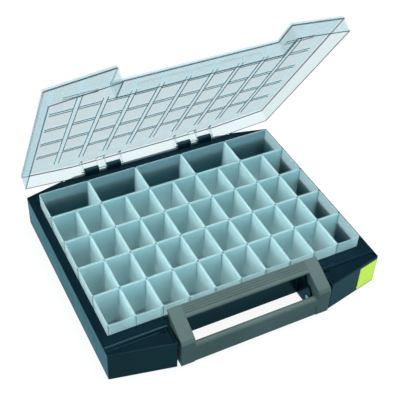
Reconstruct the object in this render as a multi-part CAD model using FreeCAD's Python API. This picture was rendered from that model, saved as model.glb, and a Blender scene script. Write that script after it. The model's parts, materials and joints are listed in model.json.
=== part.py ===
"""Compartment organizer box: tray, clear hinged lid, carrying handle and lift-out bins.

Millimetres, +Z up, +X to the right and +Y to the hinge side. The origin is the middle
of the tray's underside. The lid is modelled closed and then opened to its rest angle.
"""
import FreeCAD, Part
import math
import os

V = FreeCAD.Vector
X_AXIS = V(1, 0, 0)
Z_AXIS = V(0, 0, 1)
SIDES = {"left": -1, "right": 1}

# Bins and their grid
CELL_WIDTH = 39.0
CELL_DEPTH = 55.0
COLUMNS = 10
SMALL_ROWS = 4
COLUMNS_PER_REAR_BIN = 2
BIN_GAP = 0.5
BIN_HEIGHT = 64.7
BIN_WALL = 1.2
BIN_FLOOR = 1.5
BIN_DRAFT = 1.1
BIN_CORNER_RADIUS = 3.0
BIN_SEAT_GAP = 0.3

# Tray
FRONT_MARGIN = 50.0
REAR_MARGIN = 38.5
SIDE_MARGIN = 13.5
CORNER_SETBACK = 19.5
REAR_KINK_INSET = 83.5
OUTER_CORNER_RADIUS = 1.5
TRAY_HEIGHT = 50.0
FLOOR_THICKNESS = 2.5
CAVITY_CLEARANCE = 0.8
TUB_WALL = 2.2
FRONT_WALL = 3.7
SKIRT_WALL = 2.0
FLANGE_THICKNESS = 2.5
WEB_THICKNESS = 2.0
WING_WEBS = 2
WEB_BOTTOM = 8.0
REAR_WEB_PITCH = 78.0
DECK_STEP_FROM_GRID = 20.0
DECK_DROP = 4.0
DECK_STEP_UPRIGHT = 0.5
DECK_EDGE = 1.8
NUBS = 2
NUB_RADIUS = 1.3
NUB_FROM_BAY = 7.0
NUB_FROM_STEP = 2.5
NUB_PITCH = 5.0

# Handle bay in the tray's front, with the lugs that carry the handle
BAY_HALF_WIDTH = 118.0
HANDLE_SIDE_GAP = 3.5
LUG_SIDE_GAP = 0.5
LUG_THICKNESS = 2.5
LUG_TOP = 40.0
LUG_BOTTOM = 4.0
LUG_NOSE = 6.5
LUG_CORNER_RADIUS = 1.5

# Lid
LID_SEAT_GAP = 0.3
LID_HEADROOM = 1.8
LID_ROOF = 2.0
LID_WALL = 1.6
LID_TOP_RADIUS = 1.6
LID_FRONT_CLEARANCE = 0.6
RIB_SPREAD = 6.8
RIB_WIDTH = 1.0
RIB_REACH = 2.2
LONG_RIB_FRONT = 41.0
LONG_RIB_REAR_GAP = 4.0
WING_RIB_PLACE = 9.0
WING_RIB_HALF_LENGTH = 23.0
LIP_TOP_ABOVE_RIM = 11.8
LIP_THICKNESS = 1.8
LIP_REACH = 3.6
LIP_END_GAP = 3.5
GUSSET_THICKNESS = 2.0
LID_OPEN_DEG = 57.0

# Hinge between tray and lid
HINGE_FROM_REAR = 4.5
HINGE_ABOVE_RIM = 6.0
KNUCKLE_RADIUS = 4.4
HINGE_PIN_RADIUS = 1.5
HINGE_RUNNING_FIT = 0.08
HINGE_STATION = 80.0
BLADE_OFFSET = 32.0
BLADE_THICKNESS = 3.0
BLOCK_WIDTH = 13.0
FINGER_GAP = 0.5
FINGER_DEPTH = 16.0
NOTCH_CLEARANCE = 1.8
LEDGE_DROP = 2.2
LEDGE_DEPTH = 13.5
LEDGE_HALF_WIDTH = 146.0
PIN_OVERHANG = 1.0

# Handle
ARM_WIDTH = 20.0
HANDLE_SKIN = 3.0
CHEEK = 2.5
PLATE_REAR_FROM_GRID = 7.2
PLATE_ABOVE_RIM = 19.0
ARM_FRONT_FROM_GRID = 50.5
ARM_FRONT_Z = 49.0
LEG_FRONT_FROM_GRID = 54.0
LEG_BEVEL_Z = 44.0
LEG_BOTTOM_Z = 3.0
LEG_DEPTH = 12.0
ARM_BACK_FROM_GRID = 27.0
ARM_BACK_LOW_Z = 14.0
ARM_BACK_HIGH_Z = 38.0
PLATE_LENGTH = 17.0
PLATE_LIP_RADIUS = 2.6
PLATE_LIP_RISE = 0.6
GROOVES = 4
GROOVE_FROM_REAR = 2.6
GROOVE_PITCH = 3.3
GROOVE_WIDTH = 1.2
GROOVE_DEPTH = 0.6
GRIP_DEPTH = 10.0
GRIP_TOP_Z = 37.0
GRIP_BOTTOM_Z = 19.0
GRIP_RADIUS = 4.6
APRON_THICKNESS = 3.0
APRON_SETBACK = 0.8
APRON_TOP_Z = 24.0
PIVOT_FROM_GRID = 34.1
PIVOT_Z = 20.7
PIVOT_PIN_RADIUS = 2.5
PIVOT_RUNNING_FIT = 0.08
PIVOT_BOSS_RADIUS = 5.5
PIVOT_PIN_END_GAP = 7.5
PIVOT_HEAD_RADIUS = 4.0
PIVOT_HEAD_THICKNESS = 1.4

# Plain label on the front right corner
LABEL_START = 2.0
LABEL_LENGTH = 33.0
LABEL_BOTTOM = 2.0
LABEL_TOP_DROP = 5.5
LABEL_THICKNESS = 0.8
LABEL_SUNK = 0.4
LABEL_GAP = 0.6

# How far a cut runs past the face that it opens, and how close counts as the same place
CUT_OVERRUN = 1.0
SAME_PLACE = 0.01

# Places worked out from the sizes above
GRID_WIDTH = COLUMNS * CELL_WIDTH
GRID_DEPTH = (SMALL_ROWS + 1) * CELL_DEPTH
TRAY_HALF_WIDTH = GRID_WIDTH / 2 + SIDE_MARGIN
TRAY_DEPTH = FRONT_MARGIN + GRID_DEPTH + REAR_MARGIN
TRAY_FRONT = -TRAY_DEPTH / 2
TRAY_REAR = TRAY_DEPTH / 2
GRID_FRONT = TRAY_FRONT + FRONT_MARGIN
GRID_REAR = GRID_FRONT + GRID_DEPTH
CAVITY_HALF_WIDTH = GRID_WIDTH / 2 + CAVITY_CLEARANCE
CAVITY_FRONT = GRID_FRONT - CAVITY_CLEARANCE
CAVITY_REAR = GRID_REAR + CAVITY_CLEARANCE
BAY_WALL = CAVITY_FRONT - FRONT_WALL
REAR_KINK = TRAY_HALF_WIDTH - REAR_KINK_INSET
DECK_STEP = GRID_FRONT - DECK_STEP_FROM_GRID
DECK_FLOOR = TRAY_HEIGHT - DECK_DROP
BIN_BOTTOM = FLOOR_THICKNESS + BIN_SEAT_GAP
BIN_TOP = BIN_BOTTOM + BIN_HEIGHT
LID_RIM = TRAY_HEIGHT + LID_SEAT_GAP
RIB_BOTTOM = BIN_TOP + LID_HEADROOM
LID_CEILING = RIB_BOTTOM + RIB_REACH
LID_TOP = LID_CEILING + LID_ROOF
LID_BAY_FACE = GRID_FRONT - LID_FRONT_CLEARANCE - LID_WALL
HINGE_Y = TRAY_REAR - HINGE_FROM_REAR
HINGE_Z = TRAY_HEIGHT + HINGE_ABOVE_RIM
HINGE_STATIONS = (-HINGE_STATION, HINGE_STATION)
HINGE_PIN_REACH = BLADE_OFFSET + BLADE_THICKNESS / 2 + PIN_OVERHANG
LEDGE_TOP = TRAY_HEIGHT - LEDGE_DROP
HANDLE_OUTER = BAY_HALF_WIDTH - HANDLE_SIDE_GAP
HANDLE_INNER = HANDLE_OUTER - ARM_WIDTH
LUG_OUTER = HANDLE_INNER - LUG_SIDE_GAP
LUG_INNER = LUG_OUTER - LUG_THICKNESS
LIP_HALF_LENGTH = LUG_INNER - LIP_END_GAP
LEG_FRONT = GRID_FRONT - LEG_FRONT_FROM_GRID
PLATE_REAR = GRID_FRONT - PLATE_REAR_FROM_GRID
PLATE_REAR_Z = TRAY_HEIGHT + PLATE_ABOVE_RIM
PIVOT_Y = GRID_FRONT - PIVOT_FROM_GRID
PIVOT_PIN_END = HANDLE_OUTER - CHEEK - PIVOT_PIN_END_GAP


def block(x_span, y_span, z_span):
    """A box from three (low, high) spans."""
    spans = (x_span, y_span, z_span)
    width, depth, height = [abs(span[1] - span[0]) for span in spans]
    return Part.makeBox(width, depth, height, V(*[min(span) for span in spans]))


def around(middle, width):
    """The span of a given width about a middle."""
    return middle - width / 2, middle + width / 2


def fuse_all(shapes):
    """One shape from several, without seams on shared faces."""
    return shapes[0].fuse(shapes[1:]).removeSplitter()


def inset(points, distance):
    """A polygon (counter-clockwise) with each edge moved inwards by the distance."""
    moved = []
    count = len(points)
    for index in range(count):
        before, here, after = points[index - 1], points[index], points[(index + 1) % count]
        first = (V(*here, 0) - V(*before, 0)).normalize()
        second = (V(*after, 0) - V(*here, 0)).normalize()
        first_normal = V(-first.y, first.x, 0)
        second_normal = V(-second.y, second.x, 0)
        shift = (first_normal + second_normal) * (distance / (1 + first_normal.dot(second_normal)))
        moved.append((here[0] + shift.x, here[1] + shift.y))
    return moved


def rounded_wire(points, radius):
    """A closed wire through 3-D points in one plane, with its corners rounded."""
    edges = []
    starts = []
    ends = []
    count = len(points)
    for index in range(count):
        here = points[index]
        to_before = (points[index - 1] - here).normalize()
        to_after = (points[(index + 1) % count] - here).normalize()
        half_angle = to_before.getAngle(to_after) / 2
        reach = radius / math.tan(half_angle)
        bisector = (to_before + to_after).normalize()
        middle = here + bisector * (radius / math.sin(half_angle) - radius)
        starts.append(here + to_before * reach)
        ends.append(here + to_after * reach)
        edges.append(Part.Arc(starts[-1], middle, ends[-1]).toShape())
    lines = [Part.makeLine(ends[index], starts[(index + 1) % count]) for index in range(count)]
    return Part.Wire([edge for pair in zip(edges, lines) for edge in pair])


def raised(corners, direction, radius):
    """A flat outline, with its corners rounded if a radius is given, pushed along a direction."""
    wire = rounded_wire(corners, radius) if radius else Part.makePolygon(corners + corners[:1])
    return Part.Face(wire).extrude(direction)


def prism(points, z_span, radius=0.0):
    """A plan outline of (x, y) points raised between two heights."""
    corners = [V(x, y, min(z_span)) for x, y in points]
    return raised(corners, Z_AXIS * abs(z_span[1] - z_span[0]), radius)


def side_plate(profile, x_span, radius=0.0):
    """A side-view outline of (y, z) points made as thick as the x span."""
    corners = [V(min(x_span), y, z) for y, z in profile]
    return raised(corners, X_AXIS * abs(x_span[1] - x_span[0]), radius)


def rod(radius, x_span, y, z):
    """A round bar along X."""
    return Part.makeCylinder(radius, abs(x_span[1] - x_span[0]), V(min(x_span), y, z), X_AXIS)


def mirrored_span(side, inner, outer):
    """An x span measured out from the middle, on the left or the right."""
    return side * inner, side * outer


def column_centre(column, columns=1):
    """The middle of a column of bins, or of several columns that share one bin."""
    return (column + 0.5) * columns * CELL_WIDTH - GRID_WIDTH / 2


def footprint(bay_face):
    """The plan outline that tray and lid share, with the handle bay cut back to the given face."""
    half = [
        (BAY_HALF_WIDTH, bay_face),
        (BAY_HALF_WIDTH, TRAY_FRONT),
        (TRAY_HALF_WIDTH, TRAY_FRONT + CORNER_SETBACK),
        (TRAY_HALF_WIDTH, TRAY_REAR - CORNER_SETBACK),
        (REAR_KINK, TRAY_REAR),
    ]
    return half + [(-x, y) for x, y in reversed(half)]


def hinge_knuckle_spans():
    """The x spans of the tray's knuckles, between the lid's fingers, at both stations."""
    inner = BLOCK_WIDTH / 2 + FINGER_GAP
    outer = BLADE_OFFSET - BLADE_THICKNESS / 2 - FINGER_GAP
    spans = []
    for station in HINGE_STATIONS:
        spans.append((station - outer, station - inner))
        spans.append((station + inner, station + outer))
    return spans


def hinge_finger_spans():
    """The x spans of the lid's fingers: a blade, a block and a blade at each station."""
    spans = []
    for station in HINGE_STATIONS:
        spans.append(around(station - BLADE_OFFSET, BLADE_THICKNESS))
        spans.append(around(station, BLOCK_WIDTH))
        spans.append(around(station + BLADE_OFFSET, BLADE_THICKNESS))
    return spans


def hinge_pin(station, radius, overrun=0.0):
    """The bar that a hinge pin fills, or the hole that it turns in."""
    reach = HINGE_PIN_REACH + overrun
    return rod(radius, (station - reach, station + reach), HINGE_Y, HINGE_Z)


def label_wall_frame():
    """A point on the front right wall, its direction towards the side and its outward normal."""
    start = V(BAY_HALF_WIDTH, TRAY_FRONT, 0)
    corner = V(TRAY_HALF_WIDTH, TRAY_FRONT + CORNER_SETBACK, 0)
    along = (corner - start).normalize()
    return corner, along, V(along.y, -along.x, 0)


def label_slab(outer, inner, margin=0.0):
    """A slab over the label's area and a margin round it, between two distances out of the wall."""
    corner, along, outward = label_wall_frame()
    near = corner - along * (LABEL_START - margin)
    far = corner - along * (LABEL_START + LABEL_LENGTH + margin)
    outline = [far + outward * outer, near + outward * outer, near - outward * inner, far - outward * inner]
    heights = (LABEL_BOTTOM - margin, TRAY_HEIGHT - LABEL_TOP_DROP + margin)
    return prism([(point.x, point.y) for point in outline], heights)


def deck_recesses(outline):
    """The shallow steps in the two front decks, inside a thin edge."""
    heights = (DECK_FLOOR, TRAY_HEIGHT + CUT_OVERRUN)
    front_half = block((-TRAY_HALF_WIDTH, TRAY_HALF_WIDTH), (TRAY_FRONT, DECK_STEP), heights)
    return prism(inset(outline, DECK_EDGE), heights).common(front_half)


def lies_on_deck_step(edge):
    """Whether an edge runs along the top of a deck's step."""
    return all(
        abs(vertex.Y - DECK_STEP) < SAME_PLACE and abs(vertex.Z - TRAY_HEIGHT) < SAME_PLACE
        for vertex in edge.Vertexes
    )


def tray_shell():
    """The moulded shell: a tub for the bins inside a skirt, stepped decks and a ledge for the hinge."""
    outline = footprint(BAY_WALL)
    open_top = TRAY_HEIGHT + CUT_OVERRUN
    shell = prism(outline, (0, TRAY_HEIGHT), OUTER_CORNER_RADIUS)
    tub_half_width = CAVITY_HALF_WIDTH + TUB_WALL
    tub = block((-tub_half_width, tub_half_width), (BAY_WALL, CAVITY_REAR + TUB_WALL), (0, TRAY_HEIGHT))
    deck_heights = (DECK_FLOOR - FLANGE_THICKNESS, TRAY_HEIGHT)
    decks = block((-TRAY_HALF_WIDTH, TRAY_HALF_WIDTH), (TRAY_FRONT, BAY_WALL), deck_heights)
    hollow = prism(inset(outline, SKIRT_WALL), (0, LEDGE_TOP - FLANGE_THICKNESS))
    cavity_span = (-CAVITY_HALF_WIDTH, CAVITY_HALF_WIDTH)
    cavity = block(cavity_span, (CAVITY_FRONT, CAVITY_REAR), (FLOOR_THICKNESS, open_top))
    ledge_depths = (TRAY_REAR - LEDGE_DEPTH, TRAY_REAR + CUT_OVERRUN)
    ledge = block((-LEDGE_HALF_WIDTH, LEDGE_HALF_WIDTH), ledge_depths, (LEDGE_TOP, open_top))
    shell = shell.cut(hollow.cut(fuse_all([tub, decks])))
    shell = shell.cut([cavity, deck_recesses(outline), ledge])
    step_edges = [edge for edge in shell.Edges if lies_on_deck_step(edge)]
    return shell.makeFillet(DECK_DROP - DECK_STEP_UPRIGHT, step_edges)


def rear_webs():
    """Stiffening webs between the tub and the rear skirt."""
    count = int(2 * REAR_KINK / REAR_WEB_PITCH) + 1
    y_span = (CAVITY_REAR + TUB_WALL / 2, TRAY_REAR - SKIRT_WALL / 2)
    z_span = (WEB_BOTTOM, LEDGE_TOP - FLANGE_THICKNESS / 2)
    middles = [(index - (count - 1) / 2) * REAR_WEB_PITCH for index in range(count)]
    return [block(around(x, WEB_THICKNESS), y_span, z_span) for x in middles]


def wing_webs(side):
    """Stiffening webs under one front deck."""
    webs = []
    z_span = (WEB_BOTTOM, DECK_FLOOR - FLANGE_THICKNESS / 2)
    for index in range(1, WING_WEBS + 1):
        share = index / (WING_WEBS + 1)
        x = side * (BAY_HALF_WIDTH + (TRAY_HALF_WIDTH - BAY_HALF_WIDTH) * share)
        y_span = (TRAY_FRONT + CORNER_SETBACK * share + SKIRT_WALL / 2, BAY_WALL + FRONT_WALL / 2)
        webs.append(block(around(x, WEB_THICKNESS), y_span, z_span))
    return webs


def deck_nubs(side):
    """Small round posts on one lower deck beside the handle, level with the rim."""
    foot = DECK_FLOOR - FLANGE_THICKNESS / 2
    nubs = []
    for index in range(NUBS):
        x = side * (BAY_HALF_WIDTH + NUB_FROM_BAY + index * NUB_PITCH)
        nubs.append(Part.makeCylinder(NUB_RADIUS, TRAY_HEIGHT - foot, V(x, DECK_STEP - NUB_FROM_STEP, foot)))
    return nubs


def tray_lug(side):
    """The bracket beside the handle's leg that carries its pivot."""
    nose = PIVOT_Y - LUG_NOSE
    root = BAY_WALL + FRONT_WALL / 2
    profile = [
        (root, LUG_BOTTOM),
        (root, LUG_TOP),
        (PIVOT_Y, LUG_TOP),
        (nose, PIVOT_Z + LUG_NOSE),
        (nose, PIVOT_Z - LUG_NOSE / 2),
        (PIVOT_Y + LUG_NOSE, LUG_BOTTOM),
    ]
    return side_plate(profile, mirrored_span(side, LUG_INNER, LUG_OUTER), LUG_CORNER_RADIUS)


def tray_knuckles():
    """The hinge knuckles that stand on the rear ledge."""
    y_span = (HINGE_Y - KNUCKLE_RADIUS, HINGE_Y + KNUCKLE_RADIUS)
    z_span = (LEDGE_TOP - FLANGE_THICKNESS / 2, HINGE_Z)
    knuckles = []
    for span in hinge_knuckle_spans():
        knuckles.append(fuse_all([rod(KNUCKLE_RADIUS, span, HINGE_Y, HINGE_Z), block(span, y_span, z_span)]))
    return knuckles


def build_tray():
    pieces = [tray_shell()] + rear_webs() + tray_knuckles()
    for side in SIDES.values():
        pieces += wing_webs(side) + deck_nubs(side) + [tray_lug(side)]
    tray = fuse_all(pieces)
    cuts = [hinge_pin(station, HINGE_PIN_RADIUS) for station in HINGE_STATIONS]
    for side in SIDES.values():
        hole = mirrored_span(side, LUG_INNER - CUT_OVERRUN, LUG_OUTER + CUT_OVERRUN)
        cuts.append(rod(PIVOT_PIN_RADIUS, hole, PIVOT_Y, PIVOT_Z))
    cuts.append(label_slab(CUT_OVERRUN, LABEL_SUNK, LABEL_GAP))
    return tray.cut(cuts)


def ceiling_rib(x_span, y_span):
    """One rib on the lid's ceiling, rooted in the roof."""
    return block(x_span, y_span, (RIB_BOTTOM, LID_CEILING + LID_ROOF / 2))


def long_ribs():
    """Pairs of ribs from front to back over the lines between columns, longer in the wings."""
    ribs = []
    for column in range(1, COLUMNS):
        x = column * CELL_WIDTH - GRID_WIDTH / 2
        front = WING_RIB_PLACE if abs(x) > BAY_HALF_WIDTH else LONG_RIB_FRONT
        y_span = (GRID_FRONT + front, GRID_REAR - LONG_RIB_REAR_GAP)
        for middle in around(x, RIB_SPREAD):
            ribs.append(ceiling_rib(around(middle, RIB_WIDTH), y_span))
    return ribs


def cross_ribs():
    """Pairs of ribs over the lines between rows, in each column, and one pair in each wing."""
    ribs = []
    for row in range(1, SMALL_ROWS + 1):
        for middle in around(GRID_FRONT + row * CELL_DEPTH, RIB_SPREAD):
            for column in range(COLUMNS):
                x_span = around(column_centre(column), CELL_WIDTH - RIB_SPREAD)
                ribs.append(ceiling_rib(x_span, around(middle, RIB_WIDTH)))
    outer_line = GRID_WIDTH / 2 - CELL_WIDTH
    for middle in around(GRID_FRONT + WING_RIB_PLACE, RIB_SPREAD):
        for side in SIDES.values():
            x_span = around(side * outer_line, 2 * WING_RIB_HALF_LENGTH)
            ribs.append(ceiling_rib(x_span, around(middle, RIB_WIDTH)))
    return ribs


def lid_fingers():
    """The hinge fingers: gusset plates from the ceiling and rear wall to the hinge axis."""
    rear = HINGE_Y + KNUCKLE_RADIUS
    front = rear - FINGER_DEPTH
    root = LID_CEILING + LID_ROOF / 2
    profile = [
        (HINGE_Y - KNUCKLE_RADIUS, HINGE_Z),
        (rear, HINGE_Z),
        (rear, root),
        (front, root),
        (front, RIB_BOTTOM),
    ]
    fingers = []
    for span in hinge_finger_spans():
        fingers.append(fuse_all([side_plate(profile, span), rod(KNUCKLE_RADIUS, span, HINGE_Y, HINGE_Z)]))
    return fingers


def lid_lip():
    """The ledge on the lid's front wall that the locked handle holds down, with gussets below."""
    top = TRAY_HEIGHT + LIP_TOP_ABOVE_RIM
    under = top - LIP_THICKNESS
    front = LID_BAY_FACE - LIP_REACH
    root = LID_BAY_FACE + LID_WALL / 2
    pieces = [block((-LIP_HALF_LENGTH, LIP_HALF_LENGTH), (front, root), (under, top))]
    middle = top - LIP_THICKNESS / 2
    profile = [(front, middle), (LID_BAY_FACE, under - LIP_REACH), (root, under - LIP_REACH), (root, middle)]
    for column in range(COLUMNS):
        x = column_centre(column)
        if abs(x) + GUSSET_THICKNESS < LIP_HALF_LENGTH:
            pieces.append(side_plate(profile, around(x, GUSSET_THICKNESS)))
    return pieces


def knuckle_notches():
    """The gaps in the lid's rear edge that the tray's knuckles stand in."""
    y_span = (HINGE_Y - KNUCKLE_RADIUS, TRAY_REAR + CUT_OVERRUN)
    z_span = (LID_RIM - CUT_OVERRUN, HINGE_Z + KNUCKLE_RADIUS + NOTCH_CLEARANCE)
    notches = []
    for low, high in hinge_knuckle_spans():
        notches.append(block((low - FINGER_GAP, high + FINGER_GAP), y_span, z_span))
    return notches


def build_lid():
    outline = footprint(LID_BAY_FACE)
    shell = prism(outline, (LID_RIM, LID_TOP), OUTER_CORNER_RADIUS)
    top_edges = [
        edge for edge in shell.Edges
        if all(abs(vertex.Z - LID_TOP) < SAME_PLACE for vertex in edge.Vertexes)
    ]
    shell = shell.makeFillet(LID_TOP_RADIUS, top_edges)
    inside = prism(inset(outline, LID_WALL), (LID_RIM - CUT_OVERRUN, LID_CEILING))
    shell = shell.cut([inside] + knuckle_notches())
    lid = fuse_all([shell] + long_ribs() + cross_ribs() + lid_fingers() + lid_lip())
    hole_radius = HINGE_PIN_RADIUS + HINGE_RUNNING_FIT
    lid = lid.cut([hinge_pin(station, hole_radius, CUT_OVERRUN) for station in HINGE_STATIONS])
    lid.rotate(V(0, HINGE_Y, HINGE_Z), X_AXIS, -LID_OPEN_DEG)
    return lid


def arm_profile():
    """The side view of the handle's arms: sloped top, upright leg, and the web round the pivot."""
    return [
        (PLATE_REAR, PLATE_REAR_Z),
        (GRID_FRONT - ARM_FRONT_FROM_GRID, ARM_FRONT_Z),
        (LEG_FRONT, LEG_BEVEL_Z),
        (LEG_FRONT, LEG_BOTTOM_Z),
        (LEG_FRONT + LEG_DEPTH, LEG_BOTTOM_Z),
        (GRID_FRONT - ARM_BACK_FROM_GRID, ARM_BACK_LOW_Z),
        (GRID_FRONT - ARM_BACK_FROM_GRID, ARM_BACK_HIGH_Z),
        (PLATE_REAR, PLATE_REAR_Z - HANDLE_SKIN),
    ]


def build_arm(side):
    """One hollow arm: two cheeks, a skin over the top and front, and the pivot boss."""
    profile = arm_profile()
    inner = inset(profile, HANDLE_SKIN)
    skin = profile[:4] + [(inner[3][0], LEG_BOTTOM_Z), inner[2], inner[1], profile[7]]
    whole = mirrored_span(side, HANDLE_INNER, HANDLE_OUTER)
    return [
        side_plate(skin, whole),
        side_plate(profile, mirrored_span(side, HANDLE_INNER, HANDLE_INNER + CHEEK)),
        side_plate(profile, mirrored_span(side, HANDLE_OUTER - CHEEK, HANDLE_OUTER)),
        rod(PIVOT_BOSS_RADIUS, whole, PIVOT_Y, PIVOT_Z),
    ]


def build_plate():
    """The sloped top plate with its rounded front lip and shallow lengthwise grooves."""
    top, arm_front = [V(0, y, z) for y, z in arm_profile()[:2]]
    down = (arm_front - top).normalize()
    normal = down.cross(X_AXIS)
    front = top + down * PLATE_LENGTH
    section = [top, front, front - normal * HANDLE_SKIN, top - Z_AXIS * HANDLE_SKIN]
    half_span = HANDLE_INNER + CHEEK / 2
    span = (-half_span, half_span)
    lip = front - normal * (PLATE_LIP_RADIUS - PLATE_LIP_RISE)
    slab = side_plate([(point.y, point.z) for point in section], span)
    plate = fuse_all([slab, rod(PLATE_LIP_RADIUS, span, lip.y, lip.z)])
    for index in range(GROOVES):
        near = top + down * (GROOVE_FROM_REAR + index * GROOVE_PITCH)
        far = near + down * GROOVE_WIDTH
        over = normal * CUT_OVERRUN
        under = normal * GROOVE_DEPTH
        groove = [near + over, far + over, far - under, near - under]
        plate = plate.cut(side_plate([(point.y, point.z) for point in groove], (-HANDLE_INNER, HANDLE_INNER)))
    return plate


def build_grip():
    """The rounded grip bar between the legs and the flat apron below it."""
    half_span = HANDLE_INNER + CHEEK / 2
    span = (-half_span, half_span)
    back = LEG_FRONT + GRIP_DEPTH
    bar = [(LEG_FRONT, GRIP_BOTTOM_Z), (back, GRIP_BOTTOM_Z), (back, GRIP_TOP_Z), (LEG_FRONT, GRIP_TOP_Z)]
    apron_front = LEG_FRONT + APRON_SETBACK
    apron = block(span, (apron_front, apron_front + APRON_THICKNESS), (LEG_BOTTOM_Z, APRON_TOP_Z))
    return [side_plate(bar, span, GRIP_RADIUS), apron]


def build_handle():
    handle = fuse_all(build_arm(-1) + build_arm(1) + [build_plate()] + build_grip())
    holes = []
    for side in SIDES.values():
        hole = mirrored_span(side, HANDLE_INNER - CUT_OVERRUN, HANDLE_OUTER - CHEEK)
        holes.append(rod(PIVOT_PIN_RADIUS + PIVOT_RUNNING_FIT, hole, PIVOT_Y, PIVOT_Z))
    return handle.cut(holes)


def build_pivot_pin(side):
    """A headed pin, held in the tray's lug, that the handle's leg turns on."""
    head_span = mirrored_span(side, LUG_INNER - PIVOT_HEAD_THICKNESS, LUG_INNER)
    shank_span = mirrored_span(side, LUG_INNER, PIVOT_PIN_END)
    shank = rod(PIVOT_PIN_RADIUS, shank_span, PIVOT_Y, PIVOT_Z)
    return fuse_all([shank, rod(PIVOT_HEAD_RADIUS, head_span, PIVOT_Y, PIVOT_Z)])


def rounded_rectangle(width, depth, z, radius):
    """A level rectangle about the Z axis, with rounded corners."""
    corners = [V(x * width / 2, y * depth / 2, z) for x, y in ((-1, -1), (1, -1), (1, 1), (-1, 1))]
    return rounded_wire(corners, radius)


def build_bin(columns):
    """An open bin over one or more columns, drafted inwards to the floor, about the Z axis."""
    width = columns * CELL_WIDTH - BIN_GAP
    depth = CELL_DEPTH - BIN_GAP
    low_inset = 2 * BIN_DRAFT
    outside = Part.makeLoft([
        rounded_rectangle(width - low_inset, depth - low_inset, BIN_BOTTOM, BIN_CORNER_RADIUS),
        rounded_rectangle(width, depth, BIN_TOP, BIN_CORNER_RADIUS),
    ], True, True)
    floor_inset = 2 * (BIN_WALL + BIN_DRAFT * (1 - BIN_FLOOR / BIN_HEIGHT))
    rim_inset = 2 * BIN_WALL
    inner_radius = BIN_CORNER_RADIUS - BIN_WALL
    inside = Part.makeLoft([
        rounded_rectangle(width - floor_inset, depth - floor_inset, BIN_BOTTOM + BIN_FLOOR, inner_radius),
        rounded_rectangle(width - rim_inset, depth - rim_inset, BIN_TOP, inner_radius),
    ], True, True)
    return outside.cut(inside)


def build_bins():
    """Every bin by name: rows of single bins in front, a row of wide ones along the hinge."""
    bins = {}
    small = build_bin(1)
    for row in range(SMALL_ROWS):
        y = GRID_FRONT + (row + 0.5) * CELL_DEPTH
        for column in range(COLUMNS):
            bins[f"bin_{row + 1}_{column + 1:02d}"] = small.translated(V(column_centre(column), y, 0))
    wide = build_bin(COLUMNS_PER_REAR_BIN)
    y = GRID_REAR - CELL_DEPTH / 2
    for index in range(COLUMNS // COLUMNS_PER_REAR_BIN):
        x = column_centre(index, COLUMNS_PER_REAR_BIN)
        bins[f"wide_bin_{index + 1}"] = wide.translated(V(x, y, 0))
    return bins


def build_part():
    """Every node of the organizer by name."""
    nodes = {"tray": build_tray(), "lid": build_lid(), "handle": build_handle()}
    nodes["label_plate"] = label_slab(LABEL_THICKNESS - LABEL_SUNK, LABEL_SUNK)
    for name, side in SIDES.items():
        nodes[f"hinge_pin_{name}"] = hinge_pin(side * HINGE_STATION, HINGE_PIN_RADIUS)
        nodes[f"pivot_pin_{name}"] = build_pivot_pin(side)
    nodes.update(build_bins())
    return nodes


os.makedirs("parts", exist_ok=True)
for node, shape in build_part().items():
    shape.exportStep(f"parts/{node}.step")
    print(node, len(shape.Solids), "solid, valid", shape.isValid(), "volume", round(shape.Volume))
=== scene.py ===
"""Looks of the compartment organizer box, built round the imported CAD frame."""
import json
import math

import bpy
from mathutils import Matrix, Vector

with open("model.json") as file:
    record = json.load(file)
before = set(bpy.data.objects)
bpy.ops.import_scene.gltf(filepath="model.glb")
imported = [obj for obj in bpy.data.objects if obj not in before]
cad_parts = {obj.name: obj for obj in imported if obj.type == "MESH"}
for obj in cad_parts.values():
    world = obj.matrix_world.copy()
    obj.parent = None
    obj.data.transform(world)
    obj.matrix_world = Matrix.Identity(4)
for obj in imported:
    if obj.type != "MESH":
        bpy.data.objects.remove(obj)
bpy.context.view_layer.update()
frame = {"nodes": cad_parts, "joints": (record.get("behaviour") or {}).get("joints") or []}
scene = bpy.context.scene

# Camera, fitted to the photograph
CAMERA_PLACE = (-0.41926, -0.7837, 0.92081)
CAMERA_TURN_DEG = (47.344, -1.917, -26.466)
CAMERA_LENS = 75.95
CAMERA_SENSOR = 36.0
CAMERA_CLIP_END = 50.0

# Colours, as scene-linear values
TRAY_DARK = (0.0020, 0.0080, 0.0130)
TRAY_LIGHT = (0.0031, 0.0114, 0.0185)
TRAY_SHEEN = (0.35, 0.90, 1.0)
HANDLE_DARK = (0.054, 0.068, 0.064)
HANDLE_LIGHT = (0.072, 0.090, 0.085)
HANDLE_SHEEN = (0.55, 0.95, 0.95)
BIN_MILK = (0.93, 0.975, 0.965)
# Painted highlight on the bins' rims; also the floor's paler colour
BIN_RIM_HIGHLIGHT_AND_FLOOR = (0.86, 0.95, 0.945)
BIN_SURFACE = (0.12, 0.50, 0.62)
BIN_SHEEN = (0.45, 0.90, 1.0)
BIN_CLEAR = (0.96, 0.985, 0.985)
# Painted shade in the bins' corners and along their floors' edges
BIN_CORNER_SHADE = (0.24, 0.36, 0.39)
BIN_CORNER_SHADE_MILK = (0.42, 0.60, 0.63)
LID_PANEL = (0.845, 0.89, 0.90)
LID_DOT = (0.75, 0.805, 0.825)
LID_CHANNEL = (0.77, 0.88, 0.92)
LID_WALL_TINT = (0.86, 0.90, 0.905)
LID_HAZE = (0.76, 0.85, 0.87)
# Painted shade: the dark lines along the lid's rib edges and rim
LID_EDGE_SHADE = (0.010, 0.026, 0.040)
LIME = (0.80, 0.97, 0.070)
LIME_DEEP = (0.76, 0.93, 0.062)
STEEL = (0.60, 0.61, 0.62)
WHITE = (1.0, 1.0, 1.0)

# The studio: the white sweep's start and end, as the sine of the elevation, and the ceiling's level
SWEEP_LOW = 0.15
SWEEP_HIGH = 0.60
CEILING_LEVEL = 0.07
COOL_LIGHT = (0.93, 0.99, 1.0)
COOL_SWEEP = (0.30, 0.83, 1.0)

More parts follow.
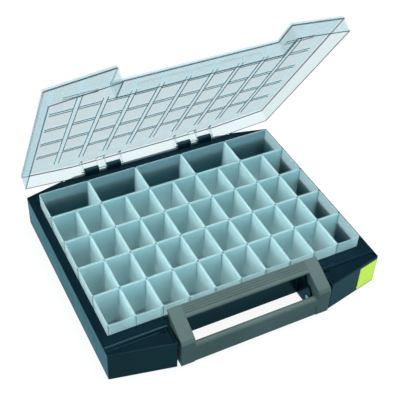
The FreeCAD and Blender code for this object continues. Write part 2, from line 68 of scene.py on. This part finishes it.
# The floor: just under the tray, and mostly plain white to the eye so that the shadow stays faint
FLOOR_SIZE = 12.0
FLOOR_DROP = 0.0004
FLOOR_PALE = (0.9, 0.9, 0.9)
FLOOR_WHITE_SHARE = 0.91
FLOOR_IN_REFLECTIONS = 0.7

# Softboxes: place, width and height in metres, and power in watts, aimed at one point in the bins
LAMP_TARGET = (0.0, 0.0, 0.1)
SOFTBOXES = {
    "top_softbox": ((0.4, 0.1, 1.9), (1.1, 1.1), 40.0),
    "key_softbox": ((-0.3, -1.9, 0.8), (1.0, 0.8), 17.0),
    "left_softbox": ((-1.8, 0.1, 1.1), (1.2, 1.0), 31.0),
    "front_softbox": ((1.8, -0.9, 1.0), (1.4, 0.9), 22.0),
}

# How much light a surface of the bins and of the lid stops, and how much of that a bin passes on
BIN_HAZE = 0.50
BIN_HAZE_SPREAD = 0.02
# The rims' haze is part of their painted highlight
BIN_RIM_HIGHLIGHT_HAZE = 0.60
BIN_FLOOR_HAZE = 0.85
BIN_WALL_GLOW = 0.84
BIN_FLOOR_GLOW = 0.15
LID_PANEL_HAZE = 0.06
# The haze of the lid's painted dark lines
LID_EDGE_SHADE_HAZE = 0.66

# Shine of the bins and of the lid, and the roughness that each surface varies between
BIN_SHINE = 0.3
BIN_ROUGHNESS = (0.26, 0.38)
LID_SHINE = 0.05
LID_ROUGHNESS = (0.18, 0.28)
LID_GLOSS_IOR = 1.25
STEEL_ROUGHNESS = (0.22, 0.42)
SCUFF_SMOOTHER = 0.07
SCUFF_ROUGHER = 0.09

# Noise: scales per metre, and the values that most of a noise lies between
CLOUD_SCALE = 9.0
SCUFF_SCALE = 45.0
GRAIN_SCALE = 1500.0
FLOW_SCALE = 30.0
BIN_GRAIN_SCALE = 900.0
RIPPLE_SCALE = 60.0
MARK_SCALES = (40.0, 2500.0, 2500.0)
NOISE_LOW = 0.3
NOISE_HIGH = 0.7

# Fine relief: its strength where a material has one of its own, and its depth in metres
GRAIN_DEPTH = 0.0004
BIN_GRAIN = 0.06
BIN_GRAIN_DEPTH = 0.0003
LID_RIPPLE = 0.01
LID_RIPPLE_DEPTH = 0.0006
STEEL_MARKS = 0.1
STEEL_MARK_DEPTH = 0.0002
SOFT_EDGE_SAMPLES = 4

# Bins: painted highlight at the rims, a paler floor, painted shade in corners and along floor edges
BIN_RIM_FROM = 0.0667
BIN_FLOOR_TOP = 0.0042
BIN_CORNER_REACH = 0.0021

# Heights in the shut lid: the ribs' lower edges, the ceiling's underside and the rim
RIB_BOTTOM = 0.0693
LID_CEILING = 0.0715
LID_CEILING_SLACK = 0.0001
LID_RIM = 0.0503
# Half height of the painted dark lines
EDGE_SHADE_HEIGHT = 0.0008

# The bins' grid, the width of the channels between the lid's paired ribs, and the dots on its panels
CELL_WIDTH = 0.039
CELL_DEPTH = 0.055
GRID_FRONT = -0.13175
SMALL_ROWS = 4
CHANNEL_WIDTH = 0.0068
LID_DOT_PITCH = 0.0032

# Places of the colour sockets on a mix node
MIX_FACTOR = 0
MIX_FIRST = 6
MIX_SECOND = 7
MIX_RESULT = 2


class Graph:
    """A short way to write the node tree of a material or a world."""

    def __init__(self, owner):
        owner.use_nodes = True
        self.owner = owner
        self.tree = owner.node_tree
        self.tree.nodes.clear()

    def add(self, kind, settings=None, **inputs):
        """A node with its settings, and its inputs linked or set by name."""
        node = self.tree.nodes.new(kind)
        for key, value in (settings or {}).items():
            setattr(node, key, value)
        for key, value in inputs.items():
            self.put(node.inputs[key.replace("_", " ")], value)
        return node

    def put(self, socket, value):
        """Links an output to a socket, or sets the socket to a number or a colour."""
        if isinstance(value, bpy.types.NodeSocket):
            self.tree.links.new(value, socket)
        elif isinstance(value, tuple) and socket.type == "RGBA":
            socket.default_value = (*value, 1.0)
        else:
            socket.default_value = value

    def local(self):
        """Coordinates that stay with the piece when it moves."""
        return self.add("ShaderNodeTexCoord").outputs["Object"]

    def noise(self, scale, detail=3.0, roughness=0.55):
        """Cloudy values that stay with the piece."""
        node = self.add(
            "ShaderNodeTexNoise", Vector=self.local(), Scale=scale, Detail=detail, Roughness=roughness
        )
        return node.outputs["Fac"]

    def ramp(self, value, stops):
        """A colour for a value, from places and their colours."""
        node = self.add("ShaderNodeValToRGB", Fac=value)
        for element, (place, colour) in zip(node.color_ramp.elements, stops):
            element.position = place
            element.color = (*colour, 1.0)
        return node.outputs["Color"]

    def span(self, value, low, high, from_low=0.0, from_high=1.0):
        """A value carried over from one range to another."""
        node = self.add(
            "ShaderNodeMapRange",
            Value=value,
            From_Min=from_low,
            From_Max=from_high,
            To_Min=low,
            To_Max=high,
        )
        return node.outputs["Result"]

    def vary(self, noise, low, high):
        """A noise spread over a range."""
        return self.span(noise, low, high, NOISE_LOW, NOISE_HIGH)

    def soft_edges(self, radius):
        """A normal that rounds the edges."""
        return self.add("ShaderNodeBevel", {"samples": SOFT_EDGE_SAMPLES}, Radius=radius).outputs["Normal"]

    def bump(self, height, strength, distance, **base):
        """A normal with fine relief, on the plain surface or on a base normal."""
        node = self.add("ShaderNodeBump", Height=height, Strength=strength, Distance=distance, **base)
        return node.outputs["Normal"]

    def math(self, operation, first, second):
        node = self.add("ShaderNodeMath", {"operation": operation})
        self.put(node.inputs[0], first)
        self.put(node.inputs[1], second)
        return node.outputs["Value"]

    def band(self, value, low, high):
        """One between two values, nought outside."""
        above = self.math("GREATER_THAN", value, low)
        return self.math("MULTIPLY", above, self.math("LESS_THAN", value, high))

    def blend(self, share, first, second):
        """A colour between two, by share."""
        node = self.add("ShaderNodeMix", {"data_type": "RGBA"})
        self.put(node.inputs[MIX_FACTOR], share)
        self.put(node.inputs[MIX_FIRST], first)
        self.put(node.inputs[MIX_SECOND], second)
        return node.outputs[MIX_RESULT]

    def mix(self, share, first, second):
        """A shader between two, by share."""
        node = self.add("ShaderNodeMixShader", Fac=share)
        self.put(node.inputs[1], first)
        self.put(node.inputs[2], second)
        return node.outputs["Shader"]

    def principled(self, **inputs):
        return self.add("ShaderNodeBsdfPrincipled", **inputs).outputs["BSDF"]

    def surface(self, shader):
        """Ends a material and hands it back."""
        self.add("ShaderNodeOutputMaterial", Surface=shader)
        return self.owner


def new_material(name):
    return Graph(bpy.data.materials.new(name))


def moulded(name, dark, light, sheen, roughness, shine, grain, edge):
    """Opaque moulded plastic: cloudy colour, fine grain and softly rounded edges."""
    graph = new_material(name)
    cloud = graph.noise(CLOUD_SCALE, detail=4.0)
    scuff = graph.noise(SCUFF_SCALE, detail=6.0, roughness=0.7)
    fine = graph.noise(GRAIN_SCALE, detail=2.0)
    shader = graph.principled(
        Base_Color=graph.ramp(cloud, [(NOISE_LOW, dark), (NOISE_HIGH, light)]),
        Roughness=graph.vary(scuff, roughness - SCUFF_SMOOTHER, roughness + SCUFF_ROUGHER),
        Specular_IOR_Level=shine,
        Specular_Tint=sheen,
        Normal=graph.bump(fine, grain, GRAIN_DEPTH, Normal=graph.soft_edges(edge)),
    )
    return graph.surface(shader)


def bin_plastic():
    """Milky see-through plastic: painted highlight on the rims, painted shade in corners and floor edges."""
    graph = new_material("bin_milky_plastic")
    place = graph.add("ShaderNodeSeparateXYZ", Vector=graph.local()).outputs
    rim_highlight = graph.math("GREATER_THAN", place["Z"], BIN_RIM_FROM)
    low = graph.math("LESS_THAN", place["Z"], BIN_FLOOR_TOP)

    # Distances from the walls, where the wide row's columns are two cells wide
    from_front = graph.math("SUBTRACT", place["Y"], GRID_FRONT)
    wide = graph.math("GREATER_THAN", from_front, CELL_DEPTH * SMALL_ROWS)
    from_small = graph.math("PINGPONG", place["X"], CELL_WIDTH / 2)
    from_wide = graph.math("PINGPONG", graph.math("ADD", place["X"], CELL_WIDTH), CELL_WIDTH)
    from_column = graph.add("ShaderNodeMix", Factor=wide, A=from_small, B=from_wide).outputs["Result"]
    from_row = graph.math("PINGPONG", from_front, CELL_DEPTH / 2)

    # Painted shade in the upright corners and along the floor's edges, below the rim
    upright = graph.math("LESS_THAN", graph.math("MAXIMUM", from_column, from_row), BIN_CORNER_REACH)
    beside_wall = graph.math("LESS_THAN", graph.math("MINIMUM", from_column, from_row), BIN_CORNER_REACH)
    corner_shade = graph.math("MAXIMUM", upright, graph.math("MULTIPLY", low, beside_wall))
    corner_shade = graph.math("MULTIPLY", corner_shade, graph.math("SUBTRACT", 1.0, rim_highlight))

    # Painted highlight on the rims and painted shade in the corners, in each colour
    glow_colour = graph.blend(corner_shade, graph.blend(rim_highlight, BIN_MILK, BIN_RIM_HIGHLIGHT_AND_FLOOR), BIN_CORNER_SHADE_MILK)
    surface_colour = graph.blend(graph.math("MAXIMUM", rim_highlight, low), BIN_SURFACE, BIN_RIM_HIGHLIGHT_AND_FLOOR)
    surface_colour = graph.blend(corner_shade, surface_colour, BIN_CORNER_SHADE_MILK)
    clear_colour = graph.blend(corner_shade, BIN_CLEAR, BIN_CORNER_SHADE)
    flow = graph.noise(FLOW_SCALE, detail=5.0, roughness=0.6)
    fine = graph.noise(BIN_GRAIN_SCALE, detail=2.0)
    normal = graph.bump(fine, BIN_GRAIN, BIN_GRAIN_DEPTH)
    shader = graph.principled(
        Base_Color=surface_colour,
        Roughness=graph.vary(flow, *BIN_ROUGHNESS),
        Specular_IOR_Level=BIN_SHINE,
        Specular_Tint=BIN_SHEEN,
        Normal=normal,
    )
    glow = graph.add("ShaderNodeBsdfTranslucent", Color=glow_colour, Normal=normal).outputs["BSDF"]
    clear = graph.add("ShaderNodeBsdfTransparent", Color=clear_colour).outputs["BSDF"]
    milk = graph.mix(graph.span(low, BIN_WALL_GLOW, BIN_FLOOR_GLOW), shader, glow)
    haze = graph.vary(flow, BIN_HAZE - BIN_HAZE_SPREAD, BIN_HAZE + BIN_HAZE_SPREAD)
    haze = graph.math("MAXIMUM", haze, graph.math("MULTIPLY", rim_highlight, BIN_RIM_HIGHLIGHT_HAZE))
    haze = graph.math("MAXIMUM", haze, graph.math("MULTIPLY", low, BIN_FLOOR_HAZE))
    return graph.surface(graph.mix(haze, clear, milk))


def lid_plastic():
    """Clear plastic with dotted panels; painted shade draws the ribs' and rim's edges as dark lines."""
    hinge = next(joint for joint in frame["joints"] if joint["name"] == "lid_hinge")
    graph = new_material("lid_clear_plastic")

    # Places in the lid as it lies when shut
    shut = graph.add("ShaderNodeVectorRotate", {"rotation_type": "X_AXIS"}, Vector=graph.local())
    shut.inputs["Center"].default_value = hinge["pos_m"]
    shut.inputs["Angle"].default_value = math.radians(-hinge["range_deg"][0])
    place = graph.add("ShaderNodeSeparateXYZ", Vector=shut.outputs["Vector"]).outputs
    from_column = graph.math("PINGPONG", place["X"], CELL_WIDTH / 2)
    from_row = graph.math("PINGPONG", graph.math("SUBTRACT", place["Y"], GRID_FRONT), CELL_DEPTH / 2)
    channel = graph.math("LESS_THAN", graph.math("MINIMUM", from_column, from_row), CHANNEL_WIDTH / 2)
    # Painted shade: dark bands at the ribs' lower edges and at the rim
    rib_shade = graph.band(place["Z"], RIB_BOTTOM - EDGE_SHADE_HEIGHT, RIB_BOTTOM + EDGE_SHADE_HEIGHT)
    edge = graph.band(place["Z"], LID_RIM - EDGE_SHADE_HEIGHT, LID_RIM + EDGE_SHADE_HEIGHT)
    edge_shade = graph.math("MAXIMUM", rib_shade, edge)
    wall = graph.math("LESS_THAN", place["Z"], LID_CEILING - LID_CEILING_SLACK)
    across = graph.math("PINGPONG", place["X"], LID_DOT_PITCH / 2)
    along = graph.math("PINGPONG", place["Y"], LID_DOT_PITCH / 2)
    dot = graph.math("GREATER_THAN", graph.math("ADD", across, along), LID_DOT_PITCH / 2)

    tint = graph.blend(dot, LID_PANEL, LID_DOT)
    tint = graph.blend(channel, tint, LID_CHANNEL)
    tint = graph.blend(wall, tint, LID_WALL_TINT)
    ripple = graph.noise(RIPPLE_SCALE, detail=4.0, roughness=0.6)
    shader = graph.principled(
        Base_Color=graph.blend(edge_shade, LID_HAZE, LID_EDGE_SHADE),
        Roughness=graph.vary(ripple, *LID_ROUGHNESS),
        Specular_IOR_Level=LID_SHINE,
        Normal=graph.bump(ripple, LID_RIPPLE, LID_RIPPLE_DEPTH),
    )

    # The lid lets all light through to what lies under it, and shines on its outer faces only
    shadow_ray = graph.add("ShaderNodeLightPath").outputs["Is Shadow Ray"]
    clear_colour = graph.blend(shadow_ray, tint, WHITE)
    clear = graph.add("ShaderNodeBsdfTransparent", Color=clear_colour).outputs["BSDF"]
    outside = graph.math("SUBTRACT", 1.0, graph.add("ShaderNodeNewGeometry").outputs["Backfacing"])
    gloss = graph.math("MULTIPLY", outside, graph.add("ShaderNodeFresnel", IOR=LID_GLOSS_IOR).outputs["Fac"])
    haze = graph.span(edge_shade, LID_PANEL_HAZE, LID_EDGE_SHADE_HAZE)
    haze = graph.math("MAXIMUM", haze, gloss)
    haze = graph.math("MULTIPLY", haze, graph.math("SUBTRACT", 1.0, shadow_ray))
    return graph.surface(graph.mix(haze, clear, shader))


def steel():
    """Drawn steel with fine marks along the pin."""
    graph = new_material("pin_steel")
    stretch = graph.add("ShaderNodeMapping", Vector=graph.local(), Scale=MARK_SCALES).outputs["Vector"]
    marks = graph.add("ShaderNodeTexNoise", Scale=1.0, Detail=3.0, Vector=stretch).outputs["Fac"]
    shader = graph.principled(
        Base_Color=STEEL,
        Metallic=1.0,
        Roughness=graph.span(marks, *STEEL_ROUGHNESS),
        Normal=graph.bump(marks, STEEL_MARKS, STEEL_MARK_DEPTH),
    )
    return graph.surface(shader)


def dress(material, *nodes):
    """Gives CAD nodes a finished material."""
    for name in nodes:
        mesh = frame["nodes"][name].data
        mesh.materials.clear()
        mesh.materials.append(material)


def build_materials():
    """Dresses every CAD node."""
    tray_plastic = moulded(
        "tray_plastic", TRAY_DARK, TRAY_LIGHT, TRAY_SHEEN,
        roughness=0.19, shine=0.18, grain=0.10, edge=0.0024,
    )
    handle_plastic = moulded(
        "handle_plastic", HANDLE_DARK, HANDLE_LIGHT, HANDLE_SHEEN,
        roughness=0.52, shine=0.40, grain=0.14, edge=0.0016,
    )
    label_plastic = moulded(
        "label_plastic", LIME_DEEP, LIME, WHITE,
        roughness=0.40, shine=0.40, grain=0.05, edge=0.0003,
    )
    dress(tray_plastic, "tray")
    dress(handle_plastic, "handle")
    dress(label_plastic, "label_plate")
    dress(lid_plastic(), "lid")
    dress(bin_plastic(), *[name for name in frame["nodes"] if name.startswith(("bin_", "wide_bin_"))])
    dress(steel(), *[name for name in frame["nodes"] if "_pin_" in name])


def build_world():
    """A white sweep near the horizon that fades to a dim ceiling, and plain white to the eye."""
    world = bpy.data.worlds.new("studio")
    scene.world = world
    graph = Graph(world)
    direction = graph.add("ShaderNodeTexCoord").outputs["Generated"]
    height = graph.add("ShaderNodeSeparateXYZ", Vector=direction).outputs["Z"]
    sweep = graph.span(height, 1.0, CEILING_LEVEL, SWEEP_LOW, SWEEP_HIGH)
    camera_ray = graph.add("ShaderNodeLightPath").outputs["Is Camera Ray"]
    background = graph.add(
        "ShaderNodeBackground",
        Color=graph.blend(camera_ray, COOL_SWEEP, WHITE),
        Strength=graph.math("MAXIMUM", camera_ray, sweep),
    )
    graph.add("ShaderNodeOutputWorld", Surface=background.outputs["Background"])


def build_floor():
    """A pale floor, white to the eye and cool in reflections, that keeps the object's shadow."""
    bpy.ops.mesh.primitive_plane_add(size=FLOOR_SIZE, location=(0.0, 0.0, -FLOOR_DROP))
    floor = bpy.context.object
    floor.name = "floor"
    graph = new_material("floor_pale")
    path = graph.add("ShaderNodeLightPath").outputs
    mirrored = graph.math("MULTIPLY", path["Is Glossy Ray"], FLOOR_IN_REFLECTIONS)
    diffuse = graph.add("ShaderNodeBsdfDiffuse", Color=FLOOR_PALE).outputs["BSDF"]
    glow = graph.add(
        "ShaderNodeEmission",
        Color=graph.blend(path["Is Camera Ray"], COOL_SWEEP, WHITE),
        Strength=graph.math("MAXIMUM", path["Is Camera Ray"], mirrored),
    )
    shader = graph.mix(FLOOR_WHITE_SHARE, diffuse, glow.outputs["Emission"])
    floor.data.materials.append(graph.surface(shader))


def build_lamps():
    """Soft rectangular lamps round the object."""
    for name, (place, (width, height), power) in SOFTBOXES.items():
        light = bpy.data.lights.new(name, "AREA")
        light.shape = "RECTANGLE"
        light.size = width
        light.size_y = height
        light.energy = power
        light.color = COOL_LIGHT
        lamp = bpy.data.objects.new(name, light)
        lamp.location = place
        direction = Vector(LAMP_TARGET) - Vector(place)
        lamp.rotation_euler = direction.to_track_quat("-Z", "Y").to_euler()
        scene.collection.objects.link(lamp)


def build_camera():
    """The photograph's view."""
    data = bpy.data.cameras.new("camera")
    data.lens = CAMERA_LENS
    data.sensor_width = CAMERA_SENSOR
    data.clip_end = CAMERA_CLIP_END
    camera = bpy.data.objects.new("camera", data)
    camera.location = CAMERA_PLACE
    camera.rotation_euler = [math.radians(angle) for angle in CAMERA_TURN_DEG]
    scene.collection.objects.link(camera)
    scene.camera = camera


build_materials()
build_world()
build_floor()
build_lamps()
build_camera()

scene.view_settings.view_transform = "Standard"
